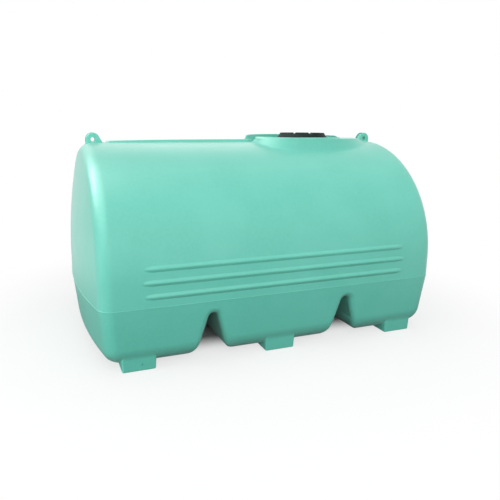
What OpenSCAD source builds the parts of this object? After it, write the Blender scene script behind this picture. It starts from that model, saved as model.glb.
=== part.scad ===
// Liquid fertilizer tank: a horizontal, D-section polyethylene tank on six moulded feet.
// X runs along the tank, Y across it, Z up. The origin is on the ground, midway between
// the ends and the sides.

/* [Overall] */
// Length over the crowns of the two domed ends
tank_l = 2740; // [2200:10:3600]
// Width over the two sides, which is also the diameter of the vaulted top
tank_w = 1730; // [1400:10:2200]
// Height of the axis of the vaulted top
axis_z = 604; // [560:4:760]
// Thickness of the moulded wall
wall = 10; // [6:1:16]

/* [Ends] */
// Radius of the rounded edge between an end and the barrel
knuckle_r = 100; // [80:5:200]
// Radius of the slight dome of an end
dome_r = 3800; // [3200:100:12000]

/* [Lower hull] */
// Height of the parting line, where the upper and the lower mould meet
parting_z = 445; // [400:5:520]
// Height of the flat bottom above the ground
belly_z = 28; // [20:2:90]
// Slope of the long sides below the parting line, in degrees
side_draft = 5; // [3:0.5:9]
// Slope of the ends below the parting line, in degrees
end_draft = 7; // [4:0.5:10]
// Radius along the bottom of the long sides
belly_r = 160; // [80:5:180]
// Radius along the bottom of the ends
heel_r = 150; // [120:5:200]
// Length of hull that is moulded with each end
end_bay_l = 480; // [420:5:520]

/* [Saddle notches] */
// Distance from the middle of an end foot to the middle of the next notch
notch_set = 511; // [460:1:560]
// Height of the top of the notch
notch_top = 350; // [280:2:400]
// Radius of the rounded top of the notch
notch_tip_r = 34; // [24:2:50]
// Slope of the notch walls from upright, in degrees
notch_slope = 16; // [8:0.5:18]
// Radius where the notch walls turn into the bottom
notch_flare_r = 130; // [50:5:140]

/* [Ribs and parting bead] */
// Distance from an end's crown to the ribs' ends
rib_set = 373; // [300:5:500]
// Extra length of the middle rib at each end
rib_extra = 13; // [0:1:30]
// Radius of a rib's rounded section
rib_r = 20; // [12:1:24]
// How far a rib stands out from the side
rib_out = 10; // [6:1:12]
// Height of the lowest rib above the parting line
rib_up = 73; // [40:1:90]
// Distance from one rib to the next
rib_pitch = 92; // [60:1:110]
// Height of the bead on the parting line
bead_h = 8; // [5:1:14]
// How far the bead stands out
bead_out = 4; // [2:1:8]

/* [Feet] */
// Distance from an end's crown to the outer side of an end foot
foot_set = 224; // [200:1:280]
// Length of a foot at the ground
foot_l = 226; // [160:2:280]
// Distance from the side's widest line in to a foot's outer face at the ground
foot_in = 52; // [30:1:80]
// Depth of a foot at the ground
foot_d = 230; // [140:5:300]
// Slope of a foot's faces, in degrees, so that it tapers towards the ground
foot_draft = 2.5; // [1:0.5:8]
// Diameter of the dimple in the outer face of the front left foot
dimple_d = 14; // [8:1:20]
// Depth of the dimple
dimple_depth = 12; // [6:1:20]
// Height of the dimple above the ground
dimple_z = 42; // [30:1:70]
// How far the dimple is from the foot's middle, towards the next foot
dimple_off = 20; // [0:1:60]

/* [Spine] */
// Width of the raised strip along the crown
spine_w = 70; // [40:2:100]
// Height of the strip above the crown
spine_h = 20; // [10:1:30]
// Distance from the left end's crown to the strip's free end
spine_set = 278; // [262:2:400]

/* [Lifting lugs] */
// Distance from an end's crown to the middle of a lug's hole
lug_set = 184; // [165:1:230]
// Height of the hole above the tank's crown
lug_up = 23; // [18:1:60]
// Radius of the lug round the hole
lug_r = 50; // [30:1:60]
// Diameter of the hole
lug_bore = 32; // [20:1:40]
// Thickness of a lug across the tank
lug_t = 56; // [30:2:80]
// Length of the slope on the inner side of a lug, along the crown
lug_run = 22; // [12:1:50]

/* [Hatch] */
// Distance from the right end's crown to the middle of the lid
hatch_set = 797; // [760:1:900]
// How far the collar's middle is from the lid's, towards the middle of the tank
collar_off = 78; // [0:1:110]
// Length of the raised oval collar at its rim
collar_l = 830; // [780:10:900]
// Width of the collar at its rim
collar_w = 650; // [560:10:700]
// Thickness of the collar at its rim
collar_t = 14; // [8:1:24]
// Width of the gap in the collar's inner end, where the strip runs in
gate_w = 190; // [120:10:260]
// Slope of the collar's outer face at its inner end, from upright, in degrees
inner_flare = 15; // [5:1:44]
// Slope of the collar's outer face at the end towards the lug, from upright, in degrees
outer_flare = 77; // [10:1:77]
// Slope of the collar's outer face at its sides, from upright, in degrees
side_flare = 14; // [5:1:20]
// Height of the collar's rim above the crown
rim_up = 46; // [40:1:90]
// How far the recessed floor's top is below the crown
floor_down = 6; // [2:1:8]
// Outer diameter of the filling neck
neck_d = 350; // [300:2:400]
// Thickness of the neck's wall
neck_t = 12; // [8:1:20]
// Height of the neck above the recessed floor
neck_h = 58; // [50:1:90]

/* [Lid] */
// Radial clearance between the lid and the neck
lid_gap = 5; // [5:0.5:8]
// Thickness of the lid's wall at its top
lid_wall = 9; // [6:1:18]
// How far the flange stands out past the lid's top
flange_out = 38; // [10:1:40]
// Height of the flange
flange_h = 8; // [6:1:20]
// Clearance between the lid and the recessed floor
lid_lift = 8; // [5:1:20]
// Thickness of the lid's top plate
lid_t = 12; // [6:1:20]
// Height of the grip ring on the lid
grip_h = 8; // [4:1:14]
// Width of the grip ring
grip_w = 34; // [20:1:50]
// Number of finger slots in the grip ring
grip_slots = 8; // [4:1:16]
// Width of a finger slot
slot_w = 26; // [14:1:40]

/* [Hidden] */
vault_r = tank_w / 2;
crown_z = axis_z + vault_r;
half_l = tank_l / 2;
// Where the rounded edge of an end starts on the barrel
edge_y = vault_r - knuckle_r;
barrel_x = round(100 * (half_l - dome_r + sqrt(pow(dome_r - knuckle_r, 2) - edge_y * edge_y))) / 100;
// Where the end bays of the lower hull start
bay_x = half_l - end_bay_l;
foot_x = half_l - foot_set - foot_l / 2;
foot_y = vault_r - foot_in;
// Height up to which a foot runs into the hull
foot_top = belly_z + belly_r;
notch_x = foot_x - notch_set;
rib_z = parting_z + rib_up;
rib_half = half_l - rib_set;
lug_x = half_l - lug_set;
lug_z = crown_z + lug_up;
hatch_x = half_l - hatch_set;
well_x = hatch_x - collar_off;
rim_z = crown_z + rim_up;
floor_z = crown_z - floor_down;
neck_z = floor_z + neck_h;
lid_r = neck_d / 2 + lid_gap + lid_wall;
// Long enough to pass through the whole tank
far = tank_l + tank_w;
// Depth below the rim at which the collar starts, inside the vault
collar_h = 3 * rim_up;
// How finely an end bay is divided
corner_steps = 9;
edge_steps = 7;
dome_steps = 8;

// ---- outlines -------------------------------------------------------------------------

// How far a lower wall has come in at height z: straight with a draft, then round.
// The distance deep moves the wall in square to itself.
function inset(z, draft, r, deep) =
    z >= belly_z + r - (r - deep) * sin(draft)
    ? (parting_z - z) * tan(draft) + deep / cos(draft)
    : r / cos(draft) + (parting_z - belly_z - r) * tan(draft)
        - sqrt(max(0, pow(r - deep, 2) - pow(belly_z + r - z, 2)));

// Points on an arc round c from angle a0 to a1
function arc(c, r, a0, a1, steps) =
    [for (i = [0:steps]) let (t = a0 + (a1 - a0) * i / steps) c + r * [cos(t), sin(t)]];

// Plan outline of an end, from the front bay edge round the dome to the rear one:
// two rounded edges of radius r, joined by an arc of radius big that peaks at x = reach
function end_outline(w, reach, r, big) =
    let (
        a = asin((w - r) / (big - r)),
        cx = reach - big + (big - r) * cos(a),
        step = 2 * a / dome_steps
    )
    concat(
        [[bay_x, -w]],
        arc([cx, r - w], r, -90, -a, edge_steps),
        arc([reach - big, 0], big, step - a, a - step, dome_steps - 2),
        arc([cx, w - r], r, a, 90, edge_steps),
        [[bay_x, w]]
    );

// Heights of the rings of an end bay's skin, from the parting line to the bottom
function ring_z(deep) = concat(
    [parting_z],
    [for (i = [0:corner_steps]) let (t = end_draft + (90 - end_draft) * i / corner_steps)
        belly_z + heel_r - (heel_r - deep) * sin(t)]
);

// Rings of the skin of the right end bay, moved in by the distance deep
function bay_rings(deep) = [for (z = ring_z(deep))
    let (
        w = vault_r - inset(z, side_draft, belly_r, deep),
        reach = half_l - inset(z, end_draft, heel_r, deep)
    )
    [for (p = end_outline(w, reach, knuckle_r - deep, dome_r - deep)) [p[0], p[1], z]]
];

// Half width of the body at a height above the parting line
function side_at(z) = z > axis_z ? sqrt(vault_r * vault_r - pow(z - axis_z, 2)) : vault_r;

// Height of the vault's skin at the distance y from the middle
function side_z(y) = axis_z + sqrt(vault_r * vault_r - y * y);

// Outline of an oval of a given half length and half width: two half circles, joined
function oval(half, r) = concat(
    arc([half - r, 0], r, -90, 90, 36),
    arc([r - half, 0], r, 90, 270, 36)
);

// ---- solids that several pieces are cut from -----------------------------------------

// A section across the tank, stretched along X from x0 to x1
module along(x0, x1) {
    translate([x0, 0, 0]) rotate([90, 0, 90]) linear_extrude(x1 - x0) children();
}

// Section of the upper body, moved in by the distance deep
module upper_section(deep) {
    intersection() {
        translate([0, axis_z]) circle(r = vault_r - deep, $fn = 360);
        translate([-vault_r, axis_z]) square([tank_w, vault_r]);
    }
    translate([deep - vault_r, parting_z]) square([tank_w - 2 * deep, axis_z - parting_z]);
}

// Section of the lower body, moved in by the distance deep
module lower_section(deep) {
    cz = belly_z + belly_r;
    cy = vault_r - belly_r / cos(side_draft) - (parting_z - cz) * tan(side_draft);
    top_y = vault_r - deep / cos(side_draft);
    polygon(concat(
        [[top_y, parting_z], [-top_y, parting_z]],
        arc([-cy, cz], belly_r - deep, 180 + side_draft, 270, 16),
        arc([cy, cz], belly_r - deep, 270, 360 - side_draft, 16)
    ));
}

// Profile of an end, radius along X and length along Y, moved in by the distance deep
module end_profile(deep) {
    r = knuckle_r - deep;
    a = asin(edge_y / (dome_r - knuckle_r));
    reach = 2 * knuckle_r;
    translate([edge_y, barrel_x]) circle(r = r, $fn = 128);
    translate([0, barrel_x - r]) square([edge_y + r, r]);
    intersection() {
        translate([0, half_l - dome_r]) circle(r = dome_r - deep, $fn = 1440);
        polygon([
            [0, barrel_x - r], [edge_y, barrel_x - r], [edge_y, barrel_x],
            [edge_y + reach * sin(a), barrel_x + reach * cos(a)], [0, barrel_x + 2 * reach]
        ]);
    }
}

// Plan of the whole body at the parting line, moved in by the distance deep
module plan(deep) {
    translate([-barrel_x, deep - vault_r]) square([2 * barrel_x, tank_w - 2 * deep]);
    end_plan(deep);
    mirror([1, 0]) end_plan(deep);
}

// Plan of the right end, where the profile's length runs along X
module end_plan(deep) {
    mirror([1, -1]) end_profile(deep);
    mirror([0, 1]) mirror([1, -1]) end_profile(deep);
}

// Upper half of the right end as a solid, moved in by the distance deep
module end_dome(deep) {
    intersection() {
        union() {
            translate([0, 0, axis_z]) rotate([90, 0, 90]) rotate_extrude($fn = 180)
                end_profile(deep);
            translate([0, 0, parting_z]) linear_extrude(axis_z - parting_z) end_plan(deep);
        }
        translate([barrel_x, -vault_r, parting_z])
            cube([2 * knuckle_r, tank_w, crown_z - parting_z]);
    }
}

// Everything above the parting line as one solid
module upper_solid() {
    along(-barrel_x, barrel_x) upper_section(0);
    end_dome(0);
    mirror([1, 0, 0]) end_dome(0);
}

// The faces round the side of a stack of rings of n points, seen from outside
function around(m, n) = [for (i = [0:m - 2]) for (j = [0:n - 2]) each [
    [i * n + j, i * n + j + 1, (i + 1) * n + j + 1],
    [i * n + j, (i + 1) * n + j + 1, (i + 1) * n + j]
]];

// The right end bay of the lower hull as a solid
module bay_solid() {
    rings = bay_rings(0);
    m = len(rings);
    n = len(rings[0]);
    polyhedron([for (ring = rings) each ring], concat(around(m, n), [
        [for (j = [n - 1:-1:0]) j],
        [for (j = [0:n - 1]) (m - 1) * n + j],
        [for (i = [0:m - 1]) i * n, for (i = [m - 1:-1:0]) i * n + n - 1]
    ]));
}

// The skin of the right end bay, open at the parting line and towards the middle
module bay_skin() {
    outer = bay_rings(0);
    inner = bay_rings(wall);
    m = len(outer);
    n = len(outer[0]);
    // Number of the first point of the inner skin
    q = m * n;
    last = (m - 1) * n;
    polyhedron([for (ring = concat(outer, inner)) each ring], concat(
        around(m, n),
        [for (face = around(m, n)) [q + face[2], q + face[1], q + face[0]]],
        [for (j = [0:n - 2]) [j, q + j, q + j + 1, j + 1]],
        [for (i = [0:m - 2]) let (a = i * n, b = a + n) [a, b, q + b, q + a]],
        [for (i = [0:m - 2]) let (a = i * n + n - 1, b = a + n) [a, q + a, q + b, b]],
        [
            [for (j = [0:n - 1]) last + j],
            [for (j = [n - 1:-1:0]) q + last + j],
            [last, last + n - 1, q + last + n - 1, q + last]
        ]
    ));
}

// Everything below the parting line as one solid, without its notches
module lower_solid() {
    along(-bay_x, bay_x) lower_section(0);
    bay_solid();
    mirror([1, 0, 0]) bay_solid();
}

// Opening of a saddle notch in the XZ plane, centred on X = 0, grown by the distance out:
// a round tip, two sloping walls, and a flare on each side down to the bottom's level
module notch_shape(out) {
    tip_z = notch_top - notch_tip_r;
    flare_z = belly_z + notch_flare_r;
    flare_x = (notch_tip_r + notch_flare_r) / cos(notch_slope)
        + (tip_z - flare_z) * tan(notch_slope);
    flare_r = notch_flare_r - out;
    low_z = belly_z - wall;
    polygon(concat(
        [[-flare_x, low_z], [flare_x, low_z]],
        arc([flare_x, flare_z], flare_r, 270, 180 + notch_slope, 12),
        arc([0, tip_z], notch_tip_r + out, notch_slope, 180 - notch_slope, 25),
        arc([-flare_x, flare_z], flare_r, 360 - notch_slope, 270, 12)
    ));
}

// An outline in the XZ plane, stretched right across the tank at x
module across(x, width) {
    translate([x, width / 2, 0]) rotate([90, 0, 0]) linear_extrude(width) children();
}

// Plan of the well inside the collar
module well_plan() {
    translate([well_x, 0]) polygon(oval(collar_l / 2 - collar_t, collar_w / 2 - collar_t));
}

// The collar as one solid, its outer face sloping out from the rim down into the vault
module collar_solid() {
    r = collar_w / 2;
    rim = oval(collar_l / 2, r);
    n = len(rim);
    foot = [for (p = rim)
        let (
            end = p[0] > 0 ? 1 : -1,
            past = p[0] - end * (collar_l / 2 - r),
            slope = tan(end > 0 ? outer_flare : inner_flare)
        )
        p + collar_h / r * [past * slope, p[1] * tan(side_flare)]
    ];
    pts = [for (i = [0, 1]) for (p = [foot, rim][i]) [p[0], p[1], (i - 1) * collar_h]];
    translate([well_x, 0, rim_z]) polyhedron(pts, concat(
        [for (j = [0:n - 1]) let (k = (j + 1) % n) each [[j, n + j, n + k], [j, n + k, k]]],
        [[for (j = [0:n - 1]) j], [for (j = [n - 1:-1:0]) n + j]]
    ));
}

// ---- the pieces -----------------------------------------------------------------------

module tank_color() {
    color([0.5, 0.84, 0.76]) children();
}

module lid_color() {
    color([0.13, 0.16, 0.16]) children();
}

// The vaulted top with the upright sides down to the parting line, open under the hatch
module vault() {
    tank_color() difference() {
        along(-barrel_x, barrel_x) difference() {
            upper_section(0);
            upper_section(wall);
        }
        translate([0, 0, axis_z]) linear_extrude(far) well_plan();
    }
}

module end_upper() {
    tank_color() difference() {
        end_dome(0);
        end_dome(wall);
    }
}

// A bay of the lower hull from x0 to x1, cut away round the notches
module belly(x0, x1) {
    tank_color() difference() {
        along(x0, x1) difference() {
            lower_section(0);
            lower_section(wall);
        }
        for (side = [-1, 1]) across(side * notch_x, far) notch_shape(wall);
    }
}

// The walls and the crown of a notch
module saddle(x) {
    tank_color() intersection() {
        across(x, far) difference() {
            notch_shape(wall);
            notch_shape(0);
        }
        along(-bay_x, bay_x) lower_section(0);
    }
}

module end_lower() {
    tank_color() bay_skin();
}

module parting_bead() {
    tank_color() translate([0, 0, parting_z - bead_h / 2]) linear_extrude(bead_h)
        difference() {
            plan(-bead_out);
            plan(0);
        }
}

// A rounded rib on the front side, its ends rounded too
module rib(z, half) {
    reach = half - rib_r;
    tank_color() difference() {
        translate([0, rib_r - rib_out - side_at(z), z]) {
            rotate([0, 90, 0]) cylinder(r = rib_r, h = 2 * reach, center = true, $fn = 48);
            for (side = [-1, 1]) translate([side * reach, 0, 0]) sphere(r = rib_r, $fn = 48);
        }
        along(-barrel_x, barrel_x) upper_section(0);
    }
}

// A block with sloping faces, at the front side unless it is mirrored
module foot_block(x) {
    lean = foot_top * tan(foot_draft);
    plan_points = [[-1, 0], [1, 0], [1, 1], [-1, 1]];
    pts = [for (level = [0, 1]) for (p = plan_points) [
        x + p[0] * (foot_l / 2 + level * lean),
        -foot_y + p[1] * foot_d - (1 - 2 * p[1]) * level * lean,
        level * foot_top
    ]];
    polyhedron(pts, [
        [0, 1, 2, 3], [7, 6, 5, 4], [0, 4, 5, 1], [1, 5, 6, 2], [2, 6, 7, 3], [3, 7, 4, 0]
    ]);
}

// A foot under the front side, cut to the hull
module front_foot(x) {
    tank_color() difference() {
        foot_block(x);
        lower_solid();
    }
}

// The front left foot has a small dimple in its outer face
module foot_with_dimple(x) {
    difference() {
        front_foot(x);
        tank_color() translate([x + dimple_off, -foot_y - foot_top * tan(foot_draft), dimple_z])
            rotate([-90, 0, 0])
            cylinder(d = dimple_d, h = dimple_depth + foot_top * tan(foot_draft), $fn = 32);
    }
}

// A foot under the rear side, cut to the hull
module rear_foot(x) {
    tank_color() difference() {
        rear() foot_block(x);
        lower_solid();
    }
}

// The raised strip along the crown, from its round free end to the well in the collar
module spine() {
    start = -half_l + spine_set + spine_w / 2;
    base_z = side_z(spine_w / 2) - spine_h;
    tank_color() difference() {
        translate([0, 0, base_z]) linear_extrude(crown_z + spine_h - base_z) polygon(concat(
            arc([start, 0], spine_w / 2, 90, 270, 32),
            [[well_x, -spine_w / 2], [well_x, spine_w / 2]]
        ));
        along(-barrel_x, barrel_x) upper_section(0);
        translate([0, 0, axis_z]) linear_extrude(far) well_plan();
    }
}

// A lug in the XZ plane: round over the hole, upright outside, sloping inside
module lug() {
    toe = [-(lug_r + lug_run), -lug_up];
    // Where the slope touches the round
    touch = 180 + atan(toe[1] / toe[0]) - acos(lug_r / norm(toe));
    depth = -lug_up - knuckle_r / 2;
    tank_color() difference() {
        across(lug_x, lug_t) translate([0, lug_z]) difference() {
            polygon(concat(
                arc([0, 0], lug_r, 0, touch, 32),
                [toe, [toe[0], depth], [lug_r, depth]]
            ));
            circle(d = lug_bore, $fn = 64);
        }
        upper_solid();
    }
}

// The raised oval wall round the hatch, open where the strip runs in
module hatch_collar() {
    tank_color() difference() {
        collar_solid();
        translate([0, 0, axis_z]) linear_extrude(far) well_plan();
        translate([well_x - far, -gate_w / 2, axis_z]) cube([far, gate_w, far]);
        along(-barrel_x, barrel_x) upper_section(0);
        translate([barrel_x, -far / 2, axis_z]) cube(far);
    }
}

// The recessed floor inside the collar, with the filling hole
module hatch_floor() {
    tank_color() translate([0, 0, floor_z - wall]) difference() {
        linear_extrude(wall) well_plan();
        translate([hatch_x, 0, 0])
            cylinder(d = neck_d - 2 * neck_t, h = 3 * wall, center = true, $fn = 96);
    }
}

module filling_neck() {
    lid_color() translate([hatch_x, 0, floor_z]) difference() {
        cylinder(d = neck_d, h = neck_h, $fn = 96);
        translate([0, 0, -1]) cylinder(d = neck_d - 2 * neck_t, h = neck_h + 2, $fn = 96);
    }
}

// The lid: a cap with a flange, resting on the neck
module hatch_lid() {
    cap_r = neck_d / 2 + lid_gap;
    low_z = floor_z + lid_lift;
    lid_color() translate([hatch_x, 0, 0]) rotate_extrude($fn = 96) polygon([
        [0, neck_z], [cap_r, neck_z], [cap_r, low_z], [lid_r + flange_out, low_z],
        [lid_r + flange_out, low_z + flange_h], [lid_r, neck_z + lid_t], [0, neck_z + lid_t]
    ]);
}

// The raised ring on the lid, with slots for the fingers
module lid_grip_ring() {
    lid_color() translate([hatch_x, 0, neck_z + lid_t]) difference() {
        cylinder(r = lid_r, h = grip_h, $fn = 96);
        translate([0, 0, -1]) cylinder(r = lid_r - grip_w, h = grip_h + 2, $fn = 96);
        for (i = [0:grip_slots - 1]) rotate([0, 0, 360 * (i + 0.5) / grip_slots])
            translate([lid_r - 1.5 * grip_w, -slot_w / 2, -1]) cube([2 * grip_w, slot_w, grip_h + 2]);
    }
}

module left() {
    mirror([1, 0, 0]) children();
}

module rear() {
    mirror([0, 1, 0]) children();
}

vault();
left() end_upper();  // end_left_upper
end_upper();  // end_right_upper
belly(-bay_x, -notch_x);  // belly_left
belly(-notch_x, notch_x);  // belly_middle
belly(notch_x, bay_x);  // belly_right
saddle(-notch_x);  // saddle_left
saddle(notch_x);  // saddle_right
left() end_lower();  // end_left_lower
end_lower();  // end_right_lower
parting_bead();
rib(rib_z, rib_half);  // rib_front_low
rib(rib_z + rib_pitch, rib_half + rib_extra);  // rib_front_middle
rib(rib_z + 2 * rib_pitch, rib_half);  // rib_front_high
rear() rib(rib_z, rib_half);  // rib_rear_low
rear() rib(rib_z + rib_pitch, rib_half + rib_extra);  // rib_rear_middle
rear() rib(rib_z + 2 * rib_pitch, rib_half);  // rib_rear_high
foot_with_dimple(-foot_x);  // foot_front_left
front_foot(0);  // foot_front_middle
front_foot(foot_x);  // foot_front_right
rear_foot(-foot_x);  // foot_rear_left
rear_foot(0);  // foot_rear_middle
rear_foot(foot_x);  // foot_rear_right
spine();
left() lug();  // lug_left
lug();  // lug_right
hatch_collar();
hatch_floor();
filling_neck();
hatch_lid();
lid_grip_ring();
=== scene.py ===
import math

import bpy
import numpy as np
from mathutils import Matrix, Vector


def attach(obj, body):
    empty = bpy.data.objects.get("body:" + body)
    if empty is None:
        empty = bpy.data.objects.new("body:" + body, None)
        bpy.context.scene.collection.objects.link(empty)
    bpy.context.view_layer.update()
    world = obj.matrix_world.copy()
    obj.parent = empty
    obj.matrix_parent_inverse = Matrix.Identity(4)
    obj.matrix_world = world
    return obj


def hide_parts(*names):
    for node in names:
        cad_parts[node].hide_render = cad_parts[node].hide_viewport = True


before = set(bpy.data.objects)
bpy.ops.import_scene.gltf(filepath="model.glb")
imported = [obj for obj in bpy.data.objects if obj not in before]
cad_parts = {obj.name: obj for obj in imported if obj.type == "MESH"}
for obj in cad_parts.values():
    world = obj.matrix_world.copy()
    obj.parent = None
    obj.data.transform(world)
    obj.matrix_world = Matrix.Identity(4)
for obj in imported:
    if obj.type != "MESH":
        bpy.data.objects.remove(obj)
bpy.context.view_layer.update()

# ---- sizes of the moulding, in metres, as the part's source has them ---------------------

HALF = 1.370            # from the middle to an end's crown
SIDE = 0.865            # half width, and the radius of the vaulted top
AXIS = 0.604            # height of the vault's axis
KNUCKLE = 0.100         # rounded edge between an end and the barrel
DOME = 3.800            # slight dome of an end
PART = 0.445            # parting line
BELLY = 0.028           # flat bottom
SIDE_DRAFT = math.radians(5)
END_DRAFT = math.radians(7)
BELLY_R, HEEL_R = 0.160, 0.150
NOTCH_X, NOTCH_TOP = 0.522, 0.350
TIP_R, FLARE_R = 0.034, 0.130
NOTCH_SLOPE = math.radians(16)
LIP_R = 0.046           # soft edge round a notch
RIB_Z = (0.518, 0.610, 0.702)
RIB_HALF, RIB_EXTRA = 0.997, 0.013
RIB_OUT, RIB_W, RIB_FADE = 0.009, 0.0215, 0.070
SPINE_X, SPINE_W, SPINE_H = -1.092, 0.035, 0.020
HATCH_X, RIM_Z, FLOOR_Z = 0.573, 1.515, 1.463
WELL_X, COLLAR_RUN, COLLAR_R, COLLAR_T = 0.495, 0.090, 0.325, 0.014
CROWN_ONLY = 1.2        # what is higher than this lies on the crown
GATE = 0.095            # half width of the gap where the strip runs into the well
SHELF_Z = 1.497         # height of the shelf between the rim and the right lug
SHELF_X, SHELF_Y = 0.505, 0.330     # half axes of the shelf's edge, from the rim's right centre
FOOT_LINE = (0.370, 0.575, 0.358)   # half axes of the collar's foot: left, right, sides
RIM_TILT = 0.009        # the rim is this much lower at the front, and higher at the rear
NECK_R, NECK_T, NECK_TOP = 0.175, 0.012, 1.521
LUG_X, LUG_Z, LUG_R, LUG_BORE, LUG_T, LUG_RUN = 1.186, 1.492, 0.050, 0.016, 0.028, 0.022
LUG_REACH = 0.115       # no part of a lug is further from its hole's middle
FOOT_X, FOOT_Y, FOOT_L, FOOT_D = 1.033, 0.813, 0.113, 0.230
FOOT_DRAFT = math.tan(math.radians(2.5))
FAR_OFF, TINY = 9.0, 1e-9


# ---- formulas ----------------------------------------------------------------------------

def ease(t):
    """Smooth step: 0 below 0, 1 above 1, and 3 t^2 - 2 t^3 between."""
    t = np.clip(t, 0, 1)
    return t * t * (3 - 2 * t)


def soft_max(a, b, k):
    """The larger of a and b, rounded where they are less than k apart:
    max(a, b) + h^2 k / 4 with h = 1 - |a - b| / k, or 0 where that is negative."""
    h = np.clip(1 - np.abs(a - b) / k, 0, None)
    return np.maximum(a, b) + h * h * k / 4


def inset(z, draft, r):
    """How far a lower wall has come in at height z: (PART - z) tan(draft) down to the
    rounding, then a circle of radius r that ends level at BELLY."""
    straight = (PART - z) * math.tan(draft)
    circle = (r / math.cos(draft) + (PART - BELLY - r) * math.tan(draft)
              - np.sqrt(np.clip(r * r - (BELLY + r - z) ** 2, 0, None)))
    return np.where(z >= BELLY + r * (1 - math.sin(draft)), straight, circle)


def end_plan(side, reach, n_dome=18, n_knuckle=14):
    """Plan of an end from its pole (y = 0) to the barrel: a dome of radius DOME through an
    angle a, then a knuckle of radius KNUCKLE from a to a right angle, tangent to both.
    side and reach are columns; each row of the result is one outline."""
    a = np.arcsin((side - KNUCKLE) / (DOME - KNUCKLE))
    cx = reach - DOME + (DOME - KNUCKLE) * np.cos(a)
    t = a * np.linspace(0, 1, n_dome)
    u = a + (np.pi / 2 - a) * np.linspace(0, 1, n_knuckle)[1:]
    x = np.hstack([reach - DOME + DOME * np.cos(t), cx + KNUCKLE * np.cos(u)])
    y = np.hstack([DOME * np.sin(t), side - KNUCKLE + KNUCKLE * np.sin(u)])
    return x, y


def side_at(x, z):
    """Half width of the lower body at x and z: w - KNUCKLE + sqrt(KNUCKLE^2 - past^2), where
    w is the wall's half width along the barrel and past the distance beyond its end."""
    w = SIDE - inset(z, SIDE_DRAFT, BELLY_R)
    reach = HALF - inset(z, END_DRAFT, HEEL_R)
    a = np.arcsin((w - KNUCKLE) / (DOME - KNUCKLE))
    past = np.clip(np.abs(x) - (reach - DOME + (DOME - KNUCKLE) * np.cos(a)), 0, KNUCKLE)
    return w - KNUCKLE + np.sqrt(KNUCKLE ** 2 - past ** 2)


def vault_z(y):
    """Height of the vault's skin at y: the circle of radius SIDE round the axis."""
    return AXIS + np.sqrt(np.clip(SIDE ** 2 - y ** 2, 0, None))


def notch_line():
    """Outline of a notch over its middle, from one foot to the other: flare, straight wall
    at NOTCH_SLOPE, round tip, and the same mirrored. Columns are x and z."""
    tip_z, flare_z = NOTCH_TOP - TIP_R, BELLY + FLARE_R
    flare_x = (TIP_R + FLARE_R) / math.cos(NOTCH_SLOPE) + (tip_z - flare_z) * math.tan(NOTCH_SLOPE)
    t = np.linspace(np.pi / 2, NOTCH_SLOPE, 16)
    flare = np.column_stack([-flare_x + FLARE_R * np.cos(t), flare_z - FLARE_R * np.sin(t)])
    u = np.linspace(np.pi - NOTCH_SLOPE, np.pi / 2, 9)
    tip = np.column_stack([TIP_R * np.cos(u), tip_z + TIP_R * np.sin(u)])
    wall = flare[-1] + (tip[0] - flare[-1]) * np.linspace(0, 1, 14)[1:-1, None]
    left = np.vstack([flare, wall, tip])
    return np.vstack([left, (left * [-1, 1])[-2::-1]])


def spread(low, high, step, *dense):
    """Places from low to high, about step apart, and for each (middle, reach, step) of
    dense also places that much closer together round middle. low and high stay in it."""
    slack = 1e-6
    kept = np.linspace(low, high, int(round((high - low) / step)) + 1)
    for middle, reach, fine in dense:
        kept = kept[np.abs(kept - middle) > reach]
    fine_parts = [m + np.linspace(-r, r, 2 * int(round(r / f)) + 1) for m, r, f in dense]
    places = np.concatenate([kept, *fine_parts])
    places = np.round(places[(places > low - slack) & (places < high + slack)], 5)
    return np.unique(np.clip(places, low, high))


# ---- meshes ------------------------------------------------------------------------------

def grid_faces(rows, cols, around):
    """Corner numbers of the quads of a grid of rows by cols points, closed round the
    columns where around is true: i cols + j, and its neighbours."""
    i = np.arange(rows - 1)[:, None]
    j = np.arange(cols if around else cols - 1)[None, :]
    k = (j + 1) % cols
    quads = np.stack([i * cols + j, i * cols + k, (i + 1) * cols + k, (i + 1) * cols + j], -1)
    return quads.reshape(-1, 4)


def weld(points, quads):
    """Points that coincide become one, so seams and poles close, faces that shrink to a line
    go, and the rest is turned outside out by the sign of the volume: the sum of a . (b x c)
    over its triangles. Gives points, quads and triangles."""
    _, first, back = np.unique(np.round(points, 5), axis=0, return_index=True, return_inverse=True)
    points, quads = points[first], back.reshape(-1)[quads]
    used = np.unique(quads)
    renumber = np.zeros(len(points), int)
    renumber[used] = np.arange(len(used))
    points, quads = points[used], renumber[quads]
    same = quads == np.roll(quads, -1, 1)
    tri_rows = same.sum(1) == 1
    tris = quads[tri_rows][~same[tri_rows]].reshape(-1, 3)
    whole = quads[same.sum(1) == 0]
    whole = whole[(whole[:, 0] != whole[:, 2]) & (whole[:, 1] != whole[:, 3])]
    from_middle = points - points.mean(0)
    fans = np.vstack([whole[:, [0, 1, 2]], whole[:, [0, 2, 3]], tris])
    a, b, c = (from_middle[fans[:, n]] for n in range(3))
    if np.einsum("ij,ij->i", a, np.cross(b, c)).sum() < 0:
        whole, tris = whole[:, ::-1], tris[:, ::-1]
    return points, whole, tris


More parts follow.
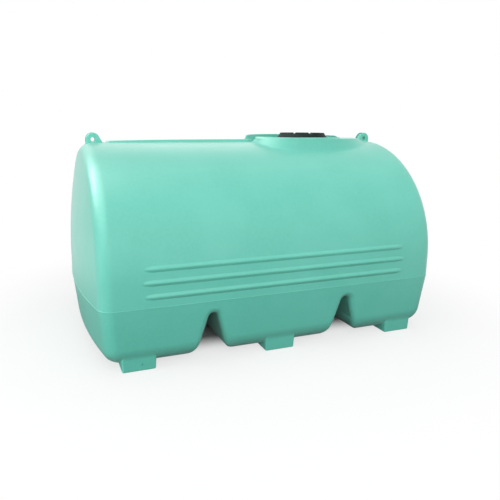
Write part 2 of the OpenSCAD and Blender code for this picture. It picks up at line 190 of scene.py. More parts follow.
def piece(name, points, around, body, nodes, sharp, material, drop=None):
    """Makes one object from a grid of points, closed round its columns where around is
    true, and leaves out the faces whose corners are all where drop is true. Edges sharper
    than sharp degrees stay crisp."""
    quads = grid_faces(points.shape[0], points.shape[1], around)
    points = points.reshape(-1, 3)
    if drop is not None:
        quads = quads[~drop(points)[quads].all(1)]
    points, whole, tris = weld(points, quads)
    mesh = bpy.data.meshes.new(name)
    loops = np.concatenate([whole.reshape(-1), tris.reshape(-1)])
    sizes = np.concatenate([np.full(len(whole), 4), np.full(len(tris), 3)])
    starts = np.concatenate([[0], np.cumsum(sizes)[:-1]])
    mesh.vertices.add(len(points))
    mesh.vertices.foreach_set("co", points.astype(np.float32).reshape(-1))
    mesh.loops.add(len(loops))
    mesh.loops.foreach_set("vertex_index", loops.astype(np.int32))
    mesh.polygons.add(len(sizes))
    mesh.polygons.foreach_set("loop_start", starts.astype(np.int32))
    mesh.update(calc_edges=True)
    mesh.validate()
    mesh.polygons.foreach_set("use_smooth", np.ones(len(mesh.polygons), bool))
    mesh.set_sharp_from_angle(angle=math.radians(sharp))
    obj = bpy.data.objects.new(name, mesh)
    bpy.context.scene.collection.objects.link(obj)
    obj.data.materials.append(material)
    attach(obj, body)
    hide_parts(*nodes)
    return obj


# ---- materials ---------------------------------------------------------------------------

class Wire:
    """A value in a shader: sums, differences and products of wires and numbers become
    Math nodes."""

    def __init__(self, shader, socket):
        self.shader, self.socket = shader, socket

    def _math(self, operation, left, right):
        return self.shader.node("ShaderNodeMath", {"operation": operation}, {0: left, 1: right})

    def __add__(self, other):
        return self._math("ADD", self, other)

    def __mul__(self, other):
        return self._math("MULTIPLY", self, other)

    def __sub__(self, other):
        return self._math("SUBTRACT", self, other)

    def __rsub__(self, other):
        return self._math("SUBTRACT", other, self)

    __radd__ = __add__
    __rmul__ = __mul__


class Shader:
    """The nodes of a material or of the world, with one way to add any node to them."""

    def __init__(self, owner):
        self.owner = owner
        owner.use_nodes = True
        self.tree = owner.node_tree

    def node(self, kind, settings, inputs, output=0):
        """A new node: first its settings, then the values or wires of its sockets. Gives the
        wire from one of its outputs."""
        made = self.tree.nodes.new(kind)
        for key, value in settings.items():
            setattr(made, key, value)
        self.feed(made, inputs)
        return Wire(self, made.outputs[output])

    def feed(self, made, inputs):
        """Links each wire to its socket of a node, and sets each plain value on it."""
        for key, value in inputs.items():
            if isinstance(value, Wire):
                self.tree.links.new(value.socket, made.inputs[key])
            else:
                made.inputs[key].default_value = value

    def finish_with(self, values):
        """Feeds the material's own plastic shader."""
        self.feed(self.tree.nodes["Principled BSDF"], values)

    def place(self):
        """Where a point lies on the object, in metres."""
        return self.node("ShaderNodeTexCoord", {}, {}, "Object")

    def larger(self, a, b):
        """The larger of two wires."""
        return self.node("ShaderNodeMath", {"operation": "MAXIMUM"}, {0: a, 1: b})

    def noise(self, scale, detail, rough=0.5):
        """Noise about 0.5, with features 1 / scale metres across."""
        return self.node("ShaderNodeTexNoise", {},
                         {"Vector": self.place(), "Scale": scale, "Detail": detail, "Roughness": rough})

    def ramp(self, value, low, high):
        """0 below low, 1 above high, smooth between."""
        return self.node("ShaderNodeMapRange", {"interpolation_type": "SMOOTHSTEP"},
                         {"Value": value, "From Min": low, "From Max": high})

    def mix(self, factor, a, b):
        """Colour a where factor is 0, colour b where it is 1."""
        return self.node("ShaderNodeMix", {"data_type": "RGBA"}, {0: factor, 6: a, 7: b}, 2)

    def bump(self, height, strength, distance, under=None):
        """A relief distance metres deep where height is 1, laid over the relief under."""
        inputs = {"Strength": strength, "Distance": distance, "Height": height}
        if under is not None:
            inputs["Normal"] = under
        return self.node("ShaderNodeBump", {}, inputs)


def rgb(r, g, b):
    """A colour written as 0 to 255 sRGB values, as the linear colour that a socket takes."""
    c = np.array([r, g, b]) / 255
    return (*np.where(c <= 0.04045, c / 12.92, ((c + 0.055) / 1.055) ** 2.4), 1.0)


def mint_polyethylene():
    """Satin rotational-moulded polyethylene: a faint cloudiness, a fine orange peel, and a
    slightly uneven gloss."""
    s = Shader(bpy.data.materials.new("mint_polyethylene"))
    cloud = s.ramp(s.noise(2.6, 4.0), 0.32, 0.68)
    grain = s.ramp(s.noise(46.0, 2.0), 0.35, 0.65)
    tone = s.mix(cloud, rgb(97, 200, 179), rgb(104, 205, 185))
    tone = s.mix(grain * 0.25, tone, rgb(110, 209, 190))
    peel = s.noise(240.0, 2.0, 0.6)
    wave = s.noise(14.0, 2.0)
    normal = s.bump(wave, 0.10, 0.004)
    normal = s.bump(peel, 0.16, 0.0008, normal)
    s.finish_with({"Base Color": tone, "Roughness": 0.36 + grain * 0.05 - cloud * 0.04,
                   "Normal": normal, "IOR": 1.6, "Sheen Weight": 0.25, "Sheen Roughness": 0.5})
    return s.owner


def black_plastic():
    """Satin black injection moulding with a fine spark-eroded grain."""
    s = Shader(bpy.data.materials.new("black_lid_plastic"))
    cloud = s.ramp(s.noise(9.0, 3.0), 0.3, 0.7)
    grain = s.noise(900.0, 2.0, 0.6)
    tone = s.mix(cloud, rgb(16, 31, 29), rgb(26, 43, 40))
    s.finish_with({"Base Color": tone, "Roughness": 0.50 + cloud * 0.08,
                   "Normal": s.bump(grain, 0.25, 0.0004), "IOR": 1.3, "Specular IOR Level": 0.3})
    return s.owner


MINT, BLACK = mint_polyethylene(), black_plastic()


# ---- camera ------------------------------------------------------------------------------

def look():
    """The camera stands before the left end, a little above the tank. ahead is the unit
    vector of its yaw and pitch, and right and down are turned by its roll."""
    stand = (-1.6188, -3.8922, 1.5951)
    yaw, pitch, roll = math.radians(19.952), math.radians(11.101), math.radians(0.317)
    ahead = Vector((math.sin(yaw) * math.cos(pitch), math.cos(yaw) * math.cos(pitch), -math.sin(pitch)))
    right = Vector((math.cos(yaw), -math.sin(yaw), 0))
    down = ahead.cross(right)
    right, down = (right * math.cos(roll) - down * math.sin(roll),
                   right * math.sin(roll) + down * math.cos(roll))
    lens = bpy.data.cameras.new("camera")
    lens.sensor_width, lens.lens = 36, 36.41184
    lens.shift_x, lens.shift_y = 0.068, -0.05
    camera = bpy.data.objects.new("camera", lens)
    turn = Matrix((right, -down, -ahead)).transposed()
    camera.matrix_world = Matrix.Translation(stand) @ turn.to_4x4()
    bpy.context.scene.collection.objects.link(camera)
    bpy.context.scene.camera = camera


look()


# ---- the upper skin ----------------------------------------------------------------------

def up_the_wall(z):
    """Length along the full-size ring from the front wall's end to height z: z - AXIS on
    the wall, and SIDE asin((z - AXIS) / SIDE) on the vault."""
    return z - AXIS if z < AXIS else SIDE * math.asin((z - AXIS) / SIDE)


def ring_point(r, s):
    """A D-shaped ring of half width r: up the front wall, over a half circle, down the rear
    wall. s is the length along the full-size ring, 0 where the front wall ends. On the
    half circle y is -r cos(s / SIDE), and z is AXIS + r sin(s / SIDE)."""
    arc = np.pi * SIDE
    phi = np.clip(s, 0, arc) / SIDE
    y = -r * np.cos(phi)
    z = AXIS + r * np.sin(phi) + np.minimum(s, 0) - np.maximum(s - arc, 0)
    return y, z


def well_gap(x, y):
    """Distance outside the well's oval, negative inside: the distance from the straight
    between its two centres, less the radius of its ends."""
    past = np.clip(np.abs(x - WELL_X) - COLLAR_RUN, 0, None)
    return np.hypot(past, y) - (COLLAR_R - COLLAR_T)


def rib_height(x, s):
    """Height of the three ribs at a point of the skin: across a rib a rounded hump,
    RIB_OUT (1 - d^2)^1.5 with d the distance from its line over its half width, that
    fades and narrows over RIB_FADE before the rib's end."""
    arc = np.pi * SIDE
    near = np.minimum(s, arc - s)
    total = 0
    for n, z in enumerate(RIB_Z):
        end = RIB_HALF + (RIB_EXTRA if n == 1 else 0) - np.abs(x)
        fade = np.sqrt(ease(end / RIB_FADE))
        d = (near - up_the_wall(z)) / (RIB_W * (0.55 + 0.45 * fade))
        total = total + RIB_OUT * fade * np.clip(1 - d * d, 0, None) ** 1.5
    return total


def spine_height(x, s):
    """Height of the strip along the crown: flat over its width, with sides that rise within
    5 mm, and a height of SPINE_H (1 - 0.45 exp(-run / 0.28)) at the distance run from its
    free end. It ends upright at the well."""
    off = np.abs(s - np.pi * SIDE / 2)
    d = np.hypot(np.clip(SPINE_X + SPINE_W - x, 0, None), off)
    rise = 1 - 0.45 * np.exp(-np.clip(x - SPINE_X, 0, None) / 0.28)
    flank = ease((SPINE_W + 0.001 - d) / 0.005)
    at_well = ease(1 + well_gap(x, off) / 0.002) * (x < WELL_X)
    return SPINE_H * rise * flank * at_well


def upper_skin():
    """Rings at stations along the tank, each pushed out by the ribs and the spine. Under the
    hatch collar's rim the skin sinks 50 mm away, and inside the well it is left out."""
    ex, er = end_plan(np.array([[SIDE]]), np.array([[HALF]]))
    ex, er = ex[0], er[0]
    barrel = spread(-ex[-1], ex[-1], 0.045,
                    (-RIB_HALF + 0.03, 0.06, 0.005),    # the ribs' left ends
                    (RIB_HALF - 0.03, 0.06, 0.005),     # the ribs' right ends
                    (-1.074, 0.024, 0.003),             # the strip's free end
                    (0.060, 0.024, 0.008),              # just before the well
                    (0.094, 0.010, 0.001),              # the well's near edge
                    (0.90, 0.030, 0.010))[1:-1]         # the well's far edge
    x = np.concatenate([-ex, barrel, ex[::-1]])
    r = np.concatenate([er, np.full(len(barrel), SIDE), er[::-1]])
    arc = np.pi * SIDE
    crown = arc / 2
    levels = [up_the_wall(z) for z in RIB_Z]
    ribs = [(level, 0.024, 0.0024) for level in levels + [arc - level for level in levels]]
    s = spread(PART - AXIS, arc + AXIS - PART, 0.034, *ribs, (crown - SPINE_W, 0.006, 0.001),
               (crown + SPINE_W, 0.006, 0.001), (crown, 0.024, 0.006),
               (crown - GATE, 0.020, 0.004), (crown + GATE, 0.020, 0.004))
    x, r, s = x[:, None], r[:, None], s[None, :]
    out = rib_height(x, s) + spine_height(x, s)
    flat = np.clip(r / SIDE, 0, 1)
    y, z = ring_point(r, s)
    phi = np.clip(s, 0, arc) / SIDE
    y, z = y - out * flat * np.cos(phi), z + out * flat * np.sin(phi)
    gap, closed = well_gap(x, y), 1 - ease((GATE + 0.008 - np.abs(y)) / 0.008) * (x < WELL_X)
    under_rim = np.maximum(ease(1 - gap / 0.012) * closed, ease(-gap / 0.003))
    sunk = 0.05 * under_rim * (z > CROWN_ONLY)

    def in_well(p):
        return (well_gap(p[:, 0], p[:, 1]) < -0.004) & (p[:, 2] > CROWN_ONLY)

    points = np.stack([np.broadcast_to(x, y.shape), y, z - sunk], -1)
    return piece("tank_upper_skin", points, False, "tank",
                 ["vault", "end_left_upper", "end_right_upper", "spine",
                  "rib_front_low", "rib_front_middle", "rib_front_high",
                  "rib_rear_low", "rib_rear_middle", "rib_rear_high"],
                 60, MINT, in_well)


# ---- the lower skin ----------------------------------------------------------------------

def lower_skin():
    """Stations run from the left pole along the front to the right pole. At each one the
    wall comes down to the bottom or to the notch's roof, goes across, and up at the rear.
    Near a notch the wall turns in by R - sqrt(R^2 - (R - d)^2), where d is the distance
    from the notch's outline, so that it rolls into the notch."""
    turn = np.linspace(SIDE_DRAFT, np.pi / 2, 24)
    z_round = BELLY + BELLY_R * (1 - np.sin(turn))
    levels = np.concatenate([np.linspace(PART, z_round[0], 20)[:-1], z_round])[:, None]
    share = (levels - BELLY) / (PART - BELLY)
    ex, ey = end_plan(SIDE - inset(levels, SIDE_DRAFT, BELLY_R), HALF - inset(levels, END_DRAFT, HEEL_R))
    line = notch_line()
    gaps = np.array([0.2, 0.4, 0.6, 0.8])
    flat_mid = np.linspace(-1, 1, 15)[1:-1] * (NOTCH_X + line[0, 0])
    flat_end = np.linspace(NOTCH_X + line[-1, 0], 0.90, 6)[1:]
    x = np.concatenate([-flat_end[::-1], line[:, 0] - NOTCH_X, flat_mid, line[:, 0] + NOTCH_X, flat_end])
    low_end, low_mid = np.full(len(flat_end), BELLY), np.full(len(flat_mid), BELLY)
    low = np.concatenate([low_end, line[:, 1], low_mid, line[:, 1], low_end])
    z = low[None, :] + (PART - low[None, :]) * share
    w = SIDE - inset(z, SIDE_DRAFT, BELLY_R)
    # Distance from the two outlines, and the lip's radius there, which fades at the flares
    nearest, lip = np.full(z.shape, FAR_OFF), np.zeros(z.shape)
    known, wanted = np.linspace(0, 1, len(line)), np.linspace(0, 1, 400)
    fine = np.column_stack([np.interp(wanted, known, line[:, n]) for n in (0, 1)])
    for side in (-1, 1):
        d = np.hypot(x[None, :, None] - side * NOTCH_X - fine[:, 0], z[:, :, None] - fine[:, 1])
        at = d.argmin(-1)
        closer = d.min(-1) < nearest
        nearest = np.where(closer, d.min(-1), nearest)
        lip = np.where(closer, LIP_R * np.sqrt(ease((fine[at, 1] - BELLY) / 0.11)), lip)
    lip = np.maximum(lip, 1e-6)
    reach = np.clip(lip - nearest, 0, None)
    w = w - (lip - np.sqrt(lip ** 2 - reach ** 2))

    def between(a_x, a_y, b_x, b_y):
        """Stations between an end's last point and the nearest station of the barrel."""
        return a_x + (b_x - a_x) * gaps, a_y + (b_y - a_y) * gaps

    lx, ly = between(-ex[:, -1:], ey[:, -1:], x[None, :1] + 0 * levels, w[:, :1])
    rx, ry = between(x[None, -1:] + 0 * levels, w[:, -1:], ex[:, -1:], ey[:, -1:])
    front_x = np.hstack([-ex, lx, np.broadcast_to(x, z.shape), rx, ex[:, ::-1]])
    front_y = np.hstack([ey, ly, w, ry, ey[:, ::-1]])
    end_z = np.broadcast_to(levels, (len(levels), ex.shape[1] + len(gaps)))
    front_z = np.hstack([end_z, z, end_z])
    wall = np.stack([front_x, -front_y, front_z], -1)
    back = wall[::-1] * [1, -1, 1]
    span = np.linspace(0, 1, 13)[1:-1, None, None]
    across = wall[-1:] * (1 - span) + back[:1] * span
    points = np.concatenate([wall, across, back])
    return piece("tank_lower_skin", points, False, "tank",
                 ["belly_left", "belly_middle", "belly_right", "saddle_left", "saddle_right",
                  "end_left_lower", "end_right_lower"], 60, MINT)


def parting_bead():
    """A low rounded bead along the parting line: an ellipse 7 mm high, 2 mm out at the ends
    and 1 mm along the sides, carried round the plan of the body."""
    ex, ey = end_plan(np.array([[SIDE]]), np.array([[HALF]]))
    barrel = np.linspace(-ex[0, -1], ex[0, -1], 30)[1:-1]
    x = np.concatenate([-ex[0], barrel, ex[0][::-1]])
    y = np.concatenate([-ey[0], np.full(len(barrel), -SIDE), -ey[0][::-1]])
    path = np.vstack([np.column_stack([x, y])[:-1], np.column_stack([x, -y])[:0:-1]])
    along = np.roll(path, -1, 0) - np.roll(path, 1, 0)
    along /= np.linalg.norm(along, axis=1)[:, None]
    outward = np.column_stack([along[:, 1], -along[:, 0]])
    t = np.linspace(-np.pi, np.pi, 17)
    out = (0.0009 + 0.0011 * np.abs(outward[:, 0])) * np.cos(t)[:, None]
    xy = path[None] + outward[None] * out[..., None]
    z = np.broadcast_to((PART + 0.0035 * np.sin(t))[:, None], xy.shape[:2])
    return piece("parting_line_bead", np.dstack([xy, z]), True, "tank", ["parting_bead"],
                 180, MINT)


# ---- hatch -------------------------------------------------------------------------------

def bend(a, corner, b, reach, steps=6):
    """Rows of points round a corner of a section: p = (1 - t)^2 a' + 2 t (1 - t) corner +
    t^2 b', where a' and b' are the points at most reach away on either side of it."""
    def towards(end):
        run = np.linalg.norm(end - corner, axis=1)[:, None]
        return corner + (end - corner) / np.maximum(run, TINY) * np.minimum(reach, run / 2)

    t = np.linspace(0, 1, steps + 1)[:, None, None]
    return (1 - t) ** 2 * towards(a) + 2 * t * (1 - t) * corner + t * t * towards(b)


def collar():
    """The oval collar and the floor of its well. Its line is two half circles joined by
    straights. A section runs from the foot on the vault up to the shelf, which is wide only
    towards the right lug, over the rim, down the upright inner face, and along the floor to
    the neck. Each corner is a quadratic bend. At the gate the section sinks to the vault."""
    right_arc = np.linspace(-np.pi / 2, np.pi / 2, 49)
    post = math.asin(GATE / COLLAR_R)
    left_arc = spread(np.pi / 2, 1.5 * np.pi, np.pi / 48,
                      (np.pi - post, 0.03, 0.004), (np.pi + post, 0.03, 0.004))
    straight = np.linspace(1, -1, 9)[1:-1]
    rear, front = np.full(len(straight), np.pi / 2), np.full(len(straight), 1.5 * np.pi)
    angle = np.concatenate([right_arc, rear, left_arc, front])
    shift = np.concatenate([np.ones(len(right_arc)), straight, -np.ones(len(left_arc)), -straight])
    cos, sin = np.cos(angle), np.sin(angle)
    right = cos > TINY
    gate = ease((GATE + 0.003 - np.abs(COLLAR_R * sin)) / 0.006) * (cos < 0)

    def ring(reach_x, reach_y, z):
        """Points at half axes reach_x and reach_y from the arcs' centres, at height z, or
        at the vault's where that is higher or the gate is open."""
        x, y = shift * COLLAR_RUN + reach_x * cos, reach_y * sin
        skin = vault_z(y)
        return np.column_stack([x, y, skin + (np.maximum(z, skin) - skin) * (1 - gate)])

    left_foot, right_foot, side_foot = FOOT_LINE
    edge, fillet = 0.0045, 0.014
    dip = 0.012 * ease(-angle / 0.16) * ease((angle + 1.25) / 0.5)
    top = RIM_Z + RIM_TILT * sin - np.where(right, dip, 0)
    foot_x = np.where(right, right_foot, left_foot)
    beyond = ring(foot_x + 0.030, side_foot + 0.030, 0)
    foot = ring(foot_x, side_foot, 0)
    shelf = ring(np.where(right, SHELF_X, SHELF_Y), SHELF_Y, SHELF_Z)
    toe = ring(COLLAR_R + 0.005, COLLAR_R + 0.005, SHELF_Z)
    outer = ring(COLLAR_R, COLLAR_R, top)
    inner = ring(COLLAR_R - COLLAR_T, COLLAR_R - COLLAR_T, top + 0.0015)
    base = inner * [1, 1, 0] + [0, 0, FLOOR_Z]
    middle = ring(COLLAR_R - 0.10, COLLAR_R - 0.10, 0) * [1, 1, 0] + [0, 0, FLOOR_Z]
    bearing = np.arctan2(sin, shift * COLLAR_RUN / COLLAR_R + cos)
    bore_r = NECK_R - NECK_T
    bore = np.column_stack([HATCH_X - WELL_X + bore_r * np.cos(bearing), bore_r * np.sin(bearing),
                            np.full(len(angle), FLOOR_Z)])
    shelf_side = shelf * 0.5 + toe * 0.5
    rows = [(beyond - [0, 0, 0.004])[None], (beyond + [0, 0, 0.0003])[None],
            bend(beyond, foot, shelf, 0.020), bend(foot, shelf, toe, 0.014), shelf_side[None],
            bend(shelf, toe, outer, 0.006), bend(toe, outer, inner, edge),
            bend(outer, inner, base, edge), bend(inner, base, middle, fillet),
            middle[None], bore[None], (bore - [0, 0, 0.012])[None]]
    points = np.vstack(rows) + [WELL_X, 0, 0]
    return piece("hatch_collar_wall", points, True, "tank", ["hatch_collar", "hatch_floor"],
                 60, MINT)


def turned(name, profile, body, nodes, count, sharp, height=None):
    """A profile of (radius, height) points carried round the hatch's axis: x and y are the
    radius times the cosine and sine of count angles; height(r, angle, z) may add to z."""
    a = np.linspace(0, 2 * np.pi, count, endpoint=False)[None, :]
    r, z = profile[:, :1], profile[:, 1:]
    z = z + (height(r, a, z) if height else 0 * a)
    points = np.stack([HATCH_X + r * np.cos(a), r * np.sin(a), z], -1)
    return piece(name, points, True, body, nodes, sharp, BLACK)


def rounded(corners, steps=4):
    """A run of (radius, height, rounding) corners as points, each corner cut by a curve
    p = (1 - t)^2 a + 2 t (1 - t) corner + t^2 b between points that far before and after."""
    c = np.array(corners, float)
    out = [c[0, :2]]
    t = np.linspace(0, 1, steps + 1)[:, None]
    for before, (*here, reach), after in zip(c[:-2, :2], c[1:-1], c[2:, :2]):
        here = np.array(here)
        if reach <= 0:
            out.append(here)
            continue
        a = here + (before - here) / np.linalg.norm(before - here) * reach
        b = here + (after - here) / np.linalg.norm(after - here) * reach
        out.extend((1 - t) ** 2 * a + 2 * t * (1 - t) * here + t * t * b)
    out.append(c[-1, :2])
    return np.array(out)


def neck():
    """The filling neck: a tube with three low rings, 12 mm apart and 2.5 mm proud, where the
    lid's thread takes hold. Its profile goes up the bore, down the rings and back."""
    inner, outer, root = NECK_R - NECK_T, NECK_R - 0.0025, FLOOR_Z - 0.010
    rings = [(outer, FLOOR_Z + 0.012, 0)]
    for n in range(3):
        z = FLOOR_Z + 0.018 + 0.012 * n
        rings += [(outer, z, 0), (NECK_R, z + 0.002, 0), (NECK_R, z + 0.004, 0), (outer, z + 0.006, 0)]
    corners = [(inner, root, 0), (inner, NECK_TOP, 0.002), (NECK_R - 0.002, NECK_TOP, 0.0015),
               (NECK_R - 0.002, NECK_TOP - 0.004, 0), *rings[::-1],
               (outer, FLOOR_Z + 0.004, 0.003), (NECK_R, FLOOR_Z + 0.0015, 0),
               (NECK_R, root, 0), (inner, root, 0)]
    return turned("filling_neck_tube", rounded(corners), "tank", ["filling_neck"], 144, 40)


def lid():
    """The screw lid: a flange, a conical skirt and a raised ring cut by eight finger slots,
    round a shallow dished middle. Its profile goes from the middle of the top outwards,
    down the skirt and back under the flange."""
    top, ring_top, low = 1.533, 1.541, 1.471
    dish, flange, seat = top - 0.001, 0.227, 0.180
    corners = [(0, dish, 0), (0.050, dish, 0.004), (0.056, top + 0.002, 0.002), (0.066, top + 0.002, 0.002),
               (0.071, dish, 0.002), (0.148, dish, 0.003), (0.154, ring_top, 0.0025),
               (0.1805, ring_top, 0), (0.186, ring_top, 0.003), (0.1895, top - 0.002, 0.002),
               (0.2225, 1.4815, 0.004), (flange, 1.4805, 0.0025), (flange, low, 0.0015),
               (seat, low, 0.001), (seat, NECK_TOP, 0.002), (0, NECK_TOP, 0)]
    profile = rounded(corners)
    fine = [profile[0]]
    for a, b in zip(profile[:-1], profile[1:]):
        step = 0.003 if 0.145 < b[0] < 0.192 and b[1] > 1.52 else 0.03
        count = max(1, int(np.linalg.norm(b - a) / step))
        fine.extend(a + (b - a) * np.linspace(0, 1, count + 1)[1:, None])

    def slots(r, a, z):
        """Takes the ring's height above the dish away where the way across from a slot's
        middle is under 15.5 mm, eased over 4 mm."""
        pitch = 2 * np.pi / 8
        across = np.abs((a / pitch + 0.65) % 1.0 - 0.5) * pitch * r
        depth = np.clip(z - dish, 0, None) * (r > 0.14)
        return -depth * ease((0.0155 - across) / 0.004) * (z > dish + 0.0005)

    return turned("screw_lid", np.array(fine), "lid", ["hatch_lid", "lid_grip_ring"], 432, 35, slots)


# ---- feet and lugs -----------------------------------------------------------------------

def box_line(count, half_x, low_y, high_y, r, extra=()):
    """A rounded rectangle as a closed line of x and y, starting at the front left: straight
    runs with count places each, plus the extra places on the front, and quarter circles."""
    q = np.linspace(0, np.pi / 2, 7)
    front = np.unique(np.concatenate([np.linspace(-half_x + r, half_x - r, count), np.asarray(extra)]))
    side = np.linspace(low_y + r, high_y - r, count)
    near, far, flat = r - r * np.cos(q), r - r * np.sin(q), np.full(count, 0.0)
    x = np.concatenate([front, half_x - far, flat + half_x, half_x - near,
                        np.linspace(half_x - r, -half_x + r, count),
                        far - half_x, flat - half_x, near - half_x])
    y = np.concatenate([np.full(len(front), low_y), low_y + near, side, high_y - far,
                        flat + high_y, high_y - near, side[::-1], low_y + far])
    return x, y


def foot(name, node, x0, rear, dimple=False):
    """A block that widens upwards with the mould's draft, rounded at its upright corners
    and round its sole. Its outer face melts into the hull by a soft maximum; a dimple is
    pressed in by 12 mm times an eased disc 8.5 mm in radius."""
    spot_x, spot_z, spot = 0.020, 0.042, np.linspace(-0.011, 0.011, 15)
    sole, top, corner, blend = 0.007, 0.150, 0.012, 0.012
    t = np.linspace(0, np.pi / 2, 6)
    z = np.linspace(sole, top, 34)[1:]
    back = np.concatenate([sole * (1 - np.sin(t)), 0 * z])
    z = np.concatenate([sole * (1 - np.cos(t)), z])
    if dimple:
        keep = np.abs(z - spot_z) > 0.0115
        z, back = np.concatenate([z[keep], spot_z + spot]), np.concatenate([back[keep], 0 * spot])
        order = np.argsort(z)
        z, back = z[order], back[order]
    x, y = box_line(16, FOOT_L, -FOOT_Y, -FOOT_Y + FOOT_D, corner, spot_x + spot if dimple else ())
    mid_y = -FOOT_Y + FOOT_D / 2
    grow_x = (FOOT_L + z * FOOT_DRAFT - back)[:, None] / FOOT_L
    grow_y = (FOOT_D / 2 + z * FOOT_DRAFT - back)[:, None] / (FOOT_D / 2)
    px, py = x0 + x * grow_x, mid_y + (y - mid_y) * grow_y
    pz = np.broadcast_to(z[:, None], px.shape)
    hull = side_at(px, pz) - 0.0006
    face = (y < -FOOT_Y + 1e-4)[None, :] * np.ones_like(px)
    py = np.where(face > 0, -soft_max(-py, hull, blend), py)
    if dimple:
        d = np.hypot(px - x0 - spot_x, pz - spot_z)
        py = py + face * 0.012 * ease((0.0085 - d) / 0.003)
    ring = np.stack([px, py, pz], -1)
    middle = np.array([x0, mid_y, 0])
    bottom = middle + (ring[:1] - middle) * np.linspace(0, 1, 5)[:-1, None, None]
    points = np.concatenate([bottom, ring]) * [1, -1 if rear else 1, 1]
    return piece(name, points, True, "tank", [node], 50, MINT)


def lug(name, node, side):
    """A lifting lug round its hole: the outline is the circle of radius LUG_R, upright on
    the outside and sloping on the inside, down to 70 mm below the hole. A ray from the hole
    meets a straight edge at the edge's distance over the cosine of the angle between the
    ray and the edge's normal. The section from the hole to the outline is a rounded oblong
    across the tank."""
    a = np.linspace(0, 2 * np.pi, 145)[:-1]
    toe = np.array([-(LUG_R + LUG_RUN), -0.023])
    touch = np.pi + math.atan(toe[1] / toe[0]) - math.acos(LUG_R / np.linalg.norm(toe))

    def straight(distance, cosine):
        return np.where(cosine > 1e-6, distance / np.maximum(cosine, 1e-6), FAR_OFF)

    upright = straight(LUG_R, np.cos(a))
    sloped = straight(LUG_R, np.column_stack([np.cos(a), np.sin(a)]) @ [math.cos(touch), math.sin(touch)])
    deep = straight(0.070, -np.sin(a))
    outline = np.where((a > 0) & (a < touch), LUG_R, np.minimum.reduce([upright, sloped, deep]))
    outline = np.minimum(outline, LUG_REACH)
    e_out, e_in = 0.008, 0.004
    q = np.linspace(0, np.pi / 2, 6)[:, None]
    # Half of the section, from the hole's middle over one face to the outline's middle
    into = (LUG_BORE + e_in * (1 - np.cos(q)), -LUG_T + e_in * (1 - np.sin(q)))
    share = np.array([0.2, 0.4, 0.6, 0.8])[:, None]
    over = (LUG_BORE + share * (outline - LUG_BORE), 0 * share - LUG_T)
    off = (outline - e_out * (1 - np.sin(q[::-1])), -LUG_T + e_out * (1 - np.cos(q[::-1])))
    r, y = (np.vstack([part[n] + 0 * a for part in (into, over, off)]) for n in (0, 1))
    r, y = np.vstack([r, r[::-1], r[:1]]), np.vstack([y, -y[::-1], y[:1]])
    px = side * (LUG_X + r * np.cos(a))
    points = np.stack([px, y, LUG_Z + r * np.sin(a)], -1)
    return piece(name, points, True, "tank", [node], 50, MINT)


upper_skin()
lower_skin()
parting_bead()
collar()
neck()
lid()
for place, x0 in (("left", -FOOT_X), ("middle", 0.0), ("right", FOOT_X)):
    foot("front_foot_" + place, "foot_front_" + place, x0, False, place == "left")
    foot("rear_foot_" + place, "foot_rear_" + place, x0, True)
lug("lifting_lug_left", "lug_left", -1)
lug("lifting_lug_right", "lug_right", 1)


# ---- floor and light ---------------------------------------------------------------------

def stage_floor():
    """A plain pale floor. It shows paler to the camera than to the light that it sends back
    up. From 1.6 to 2.8 m from the middle it melts into the white surround. Nearer, a soft
    glow lifts it to the camera, except under the tank: there it keeps its own shade."""
    edge = 30
    mesh = bpy.data.meshes.new("floor")
    corners = [(-edge, -edge, 0), (edge, -edge, 0), (edge, edge, 0), (-edge, edge, 0)]
    mesh.from_pydata(corners, [], [(0, 1, 2, 3)])
    floor = bpy.data.objects.new("floor", mesh)
    bpy.context.scene.collection.objects.link(floor)
    s = Shader(bpy.data.materials.new("floor_white"))
    camera = s.node("ShaderNodeLightPath", {}, {}, "Is Camera Ray")
    seen = s.larger(camera, s.node("ShaderNodeLightPath", {}, {}, "Is Glossy Ray"))
    s.finish_with({"Base Color": s.mix(camera, rgb(75, 75, 75), rgb(248, 248, 248)), "Roughness": 0.9,
                   "Specular IOR Level": 0.0})
    far = s.node("ShaderNodeVectorMath", {"operation": "LENGTH"}, {0: s.place()}, 1)
    beyond = s.ramp(far, 1.6, 2.8)
    aside = s.node("ShaderNodeVectorMath", {"operation": "ABSOLUTE"}, {0: s.place()})
    past_x, past_y = (s.node("ShaderNodeSeparateXYZ", {}, {0: aside}, axis) - half
                      for axis, half in ((0, HALF), (1, SIDE)))
    outside = s.ramp(s.larger(past_x, past_y), -0.46, -0.18)
    melt = beyond * seen + (1 - beyond) * camera * outside * 0.7
    plain = Wire(s, s.tree.nodes["Principled BSDF"].outputs[0])
    white = s.node("ShaderNodeEmission", {}, {"Color": (1, 1, 1, 1), "Strength": 1.0})
    shade = s.node("ShaderNodeMixShader", {}, {0: melt, 1: plain, 2: white})
    s.feed(s.tree.nodes["Material Output"], {"Surface": shade})
    mesh.materials.append(s.owner)


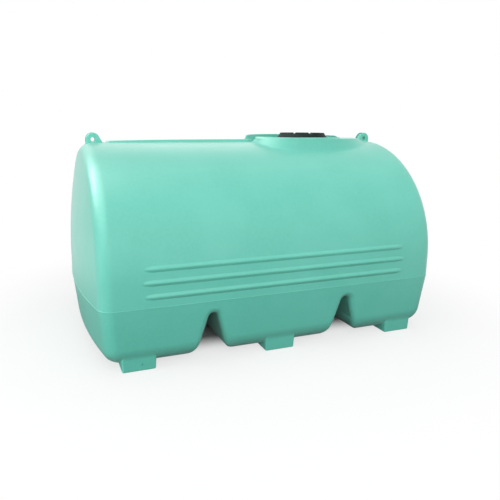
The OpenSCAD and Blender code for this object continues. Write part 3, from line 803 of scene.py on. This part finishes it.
def lamp(name, place, target, size, power):
    """A soft rectangular lamp at place, turned to target."""
    light = bpy.data.lights.new(name, "AREA")
    light.shape, light.size, light.size_y, light.energy = "RECTANGLE", size[0], size[1], power
    obj = bpy.data.objects.new(name, light)
    obj.location = place
    obj.rotation_mode = "QUATERNION"
    obj.rotation_quaternion = (Vector(target) - Vector(place)).to_track_quat("-Z", "Y")
    bpy.context.scene.collection.objects.link(obj)
    return obj


def surround():
    """An even white room: soft and dim as a light, white to the eye and in reflections."""
    dim, full = 0.57, 1.0
    s = Shader(bpy.data.worlds.new("studio"))
    bpy.context.scene.world = s.owner
    camera, glossy, through = (s.node("ShaderNodeLightPath", {}, {}, ray)
                               for ray in ("Is Camera Ray", "Is Glossy Ray", "Is Transmission Ray"))
    seen = s.larger(s.larger(camera, glossy), through)
    s.feed(s.tree.nodes["Background"], {"Color": (1, 1, 1, 1), "Strength": dim + seen * (full - dim)})


stage_floor()
# Lamps that light the surfaces and show in no reflection: name, place, target, size, watts
for spec in (("key", (-0.3, -5.2, 4.2), (0, 0, 0.7), (6.5, 3.0), 92),
             ("low", (-0.3, -6.0, 1.5), (0, 0, 0.6), (6.5, 2.0), 84),
             ("side", (-5.2, -1.2, 0.7), (-1.3, -0.4, 0.3), (2.4, 1.0), 92),
             ("top", (0.0, 0.3, 6.5), (0, 0, 0.5), (6.0, 4.0), 88)):
    lamp(*spec).visible_glossy = False
# Lamps that only show as soft highlights on the satin plastic, round the near left corner
CORNER = (-1.25, -0.5, 1.2)
for spec in (("sky_wide", (-4.4, -1.0, 5.2), CORNER, (6.5, 6.0), 170),
             ("sky_core", (-4.95, 1.2, 4.6), CORNER, (2.8, 2.8), 260),
             ("sky_top", (-2.55, -0.35, 6.2), CORNER, (4.0, 4.0), 130),
             ("sky_front", (-4.0, -3.4, 4.0), CORNER, (3.6, 3.6), 60),
             ("sky_rear", (0.0, 6.0, 5.5), (0, 0, 1.4), (12.0, 3.5), 120)):
    lamp(*spec).visible_diffuse = False
surround()
bpy.context.scene.view_settings.view_transform = "Standard"
